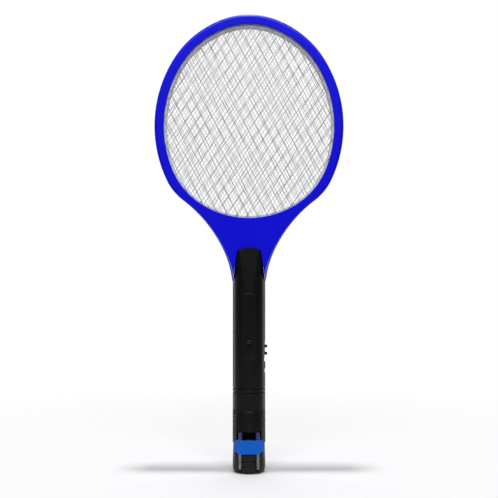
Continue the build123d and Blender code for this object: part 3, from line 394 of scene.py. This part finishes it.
def sheet_of(piece, wide, tall, join, low, high, tilt):
    span = 1.25 * (high - low).length
    columns, rows = math.ceil(span / wide), math.ceil(span / tall)
    repeat(piece, (wide, 0, 0), columns, join)
    repeat(piece, (wide / 2, 0, tall / 2), 2, join)
    repeat(piece, (0, 0, tall), rows, join)
    middle = (low + high) / 2
    bpy.ops.object.mode_set(mode="EDIT")
    bpy.ops.mesh.select_all(action="SELECT")
    bpy.ops.transform.translate(value=(middle.x - columns * wide / 2, middle.y,
                                       middle.z - rows * tall / 2))
    bpy.ops.transform.rotate(value=tilt, orient_axis="Y", center_override=middle)


# %% [markdown]
# ## Cut the sheet to the head
#
# The sheet must end inside the blue rim.  The CAD grid has the right outline, and because
# that outline bulges outwards everywhere, straight cuts round it are enough: for each
# direction the furthest point of the CAD grid says where the bisect plane goes, and what
# lies beyond it is cleared.  A Solidify modifier gives the strands their thickness.

# %% Trim, thicken and hand over
CUTS = 72
STRAND_T = 0.0005
EDGE_ROOM = 0.0002


def grid(node, wide, tall, strand, tilt):
    low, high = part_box(node)
    outline = [(v.co.x, v.co.z) for v in frame["nodes"][node].data.vertices]
    slant = min(strand * 0.32, (high.y - low.y) / 2 - EDGE_ROOM)
    piece = diamond(node + "_mesh", wide, tall, strand, slant)
    sheet_of(piece, wide, tall, strand / 20, low, high, math.radians(tilt))
    for cut in range(CUTS):
        angle = 2 * math.pi * cut / CUTS
        x, z = math.cos(angle), math.sin(angle)
        reach = max(x * px + z * pz for px, pz in outline) - EDGE_ROOM
        bpy.ops.mesh.select_all(action="SELECT")
        bpy.ops.mesh.bisect(plane_co=(x * reach, 0, z * reach), plane_no=(x, 0, z),
                            clear_outer=True)
    bpy.ops.object.mode_set(mode="OBJECT")
    thick = piece.modifiers.new("thickness", "SOLIDIFY")
    thick.thickness = STRAND_T
    thick.offset = 0
    bpy.ops.object.modifier_apply(modifier=thick.name)
    piece.data.materials.append(FINISHES["grid_metal"])
    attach(piece, "racket")
    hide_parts(node)
    print(node, "has", len(piece.data.polygons), "faces")
    return piece


# %% [markdown]
# ## The three sheets
#
# The outer grids are coarse, and each lies at its own small angle, so the two never line up
# and the eye sees a woven pattern.  The middle grid is much finer: an
# insect that passes an outer grid has to touch it.

# %% Make the grids
MM = 0.001
COARSE, FINE = 0.55 * MM, 0.36 * MM                 # strand widths
SHEETS = {                                          # cell width and height, strand, tilt
    "grid_front": (11.7 * MM, 18.8 * MM, COARSE, -7.3),
    "grid_back": (10.9 * MM, 18.5 * MM, COARSE, -0.9),
    "grid_middle": (4.14 * MM, 6.95 * MM, FINE, -3.0),
}
for node, measures in SHEETS.items():
    grid(node, *measures)

# %% [markdown]
# ## Floor
#
# The swatter stands on a pale floor.  A disc whose edge fades out leaves no horizon behind
# the object, so the floor only shows as the soft shadow round the tail cap.

# %% The floor
FADE_FROM, FADE_TO = 0.15, 0.85                     # shares of the floor's radius


def fading_floor(radius):
    finish = Finish("floor_pale", Base_Color=(0.66, 0.66, 0.67, 1), Roughness=0.75)
    distance = finish.node("ShaderNodeVectorMath", {"operation": "LENGTH"},
                           {0: finish.place}, "Value")
    finish.feed("Alpha", 1 - finish.between(distance * (1 / radius), FADE_FROM, FADE_TO))
    finish.feed("Roughness", finish.cloud(0.02) * 0.1 + 0.7)
    start_clean()
    bpy.ops.mesh.primitive_circle_add(vertices=96, radius=radius, fill_type="NGON",
                                      location=(0, 0, cad_box[0][2]))
    floor = bpy.context.object
    floor.name = "floor"
    bpy.ops.object.transform_apply(location=True, rotation=True, scale=True)
    floor.data.materials.append(finish.material)
    return floor


fading_floor(0.75)

# %% [markdown]
# ## Light
#
# Black plastic only shows its shape by what it reflects.  Two tall soft boxes behind and to
# the sides draw pale lines along the handle's edges.  Broad ones above the camera and above
# the back light the blue head and the grids, and a small one overhead casts the head's shadow
# on the floor.  The camera sees the room as plain white, but the object is lit by a much
# dimmer one, so its colours stay deep.

# %% Lights and room
def soft_box(name, place, target, size, power):
    light = bpy.data.lights.new(name, "AREA")
    light.shape = "RECTANGLE"
    light.size, light.size_y = size
    light.energy = power
    lamp = bpy.data.objects.new(name, light)
    bpy.context.scene.collection.objects.link(lamp)
    lamp.location = place
    aim = Vector(target) - lamp.location
    lamp.rotation_euler = aim.to_track_quat("-Z", "Y").to_euler()
    return lamp


STRIP, STRIP_POWER = (0.28, 1.4), 3.5
ROOM_SEEN, ROOM_FILL = 1.0, 0.10
height = cad_box[1][2] - cad_box[0][2]
centre = (0, 0, height / 2)
for side, name in ((-1, "left_strip"), (1, "right_strip")):
    soft_box(name, (side * 0.85, 0.72, height * 0.6), centre, STRIP, STRIP_POWER)
soft_box("front_top", (0.0, -1.5, height * 3.4), centre, (1.6, 0.7), 26)
soft_box("back_top", (0.0, 1.2, height * 3.4), centre, (1.6, 0.7), 16)
soft_box("overhead", (0.0, -0.05, height * 3.6), centre, (0.16, 0.12), 22)

world = bpy.data.worlds.new("room")
bpy.context.scene.world = world
world.use_nodes = True
room = world.node_tree
seen, fill = room.nodes["Background"], room.nodes.new("ShaderNodeBackground")
seen.inputs["Color"].default_value = (1, 1, 1, 1)
seen.inputs["Strength"].default_value = ROOM_SEEN
fill.inputs["Color"].default_value = (0.97, 0.98, 1, 1)
fill.inputs["Strength"].default_value = ROOM_FILL
rays = room.nodes.new("ShaderNodeLightPath")
either = room.nodes.new("ShaderNodeMixShader")
room.links.new(rays.outputs["Is Camera Ray"], either.inputs[0])
room.links.new(fill.outputs[0], either.inputs[1])
room.links.new(seen.outputs[0], either.inputs[2])
room.links.new(either.outputs[0], room.nodes["World Output"].inputs[0])
bpy.context.scene.view_settings.view_transform = "Standard"

# %% [markdown]
# ## Camera
#
# A short telephoto lens, level with the middle of the swatter and a little over a metre
# away, looks straight at the front.

# %% The camera
CAMERA_AWAY = 1.11
CAMERA_HEIGHT = 0.2465
FOCAL_MM, SENSOR_MM = 72.3, 36
lens = bpy.data.cameras.new("camera")
lens.lens = FOCAL_MM
lens.sensor_width = SENSOR_MM
camera = bpy.data.objects.new("camera", lens)
bpy.context.scene.collection.objects.link(camera)
camera.location = (0, -CAMERA_AWAY, CAMERA_HEIGHT)
camera.rotation_euler = (math.pi / 2, 0, 0)
bpy.context.scene.camera = camera
print("camera", CAMERA_AWAY, "m in front")
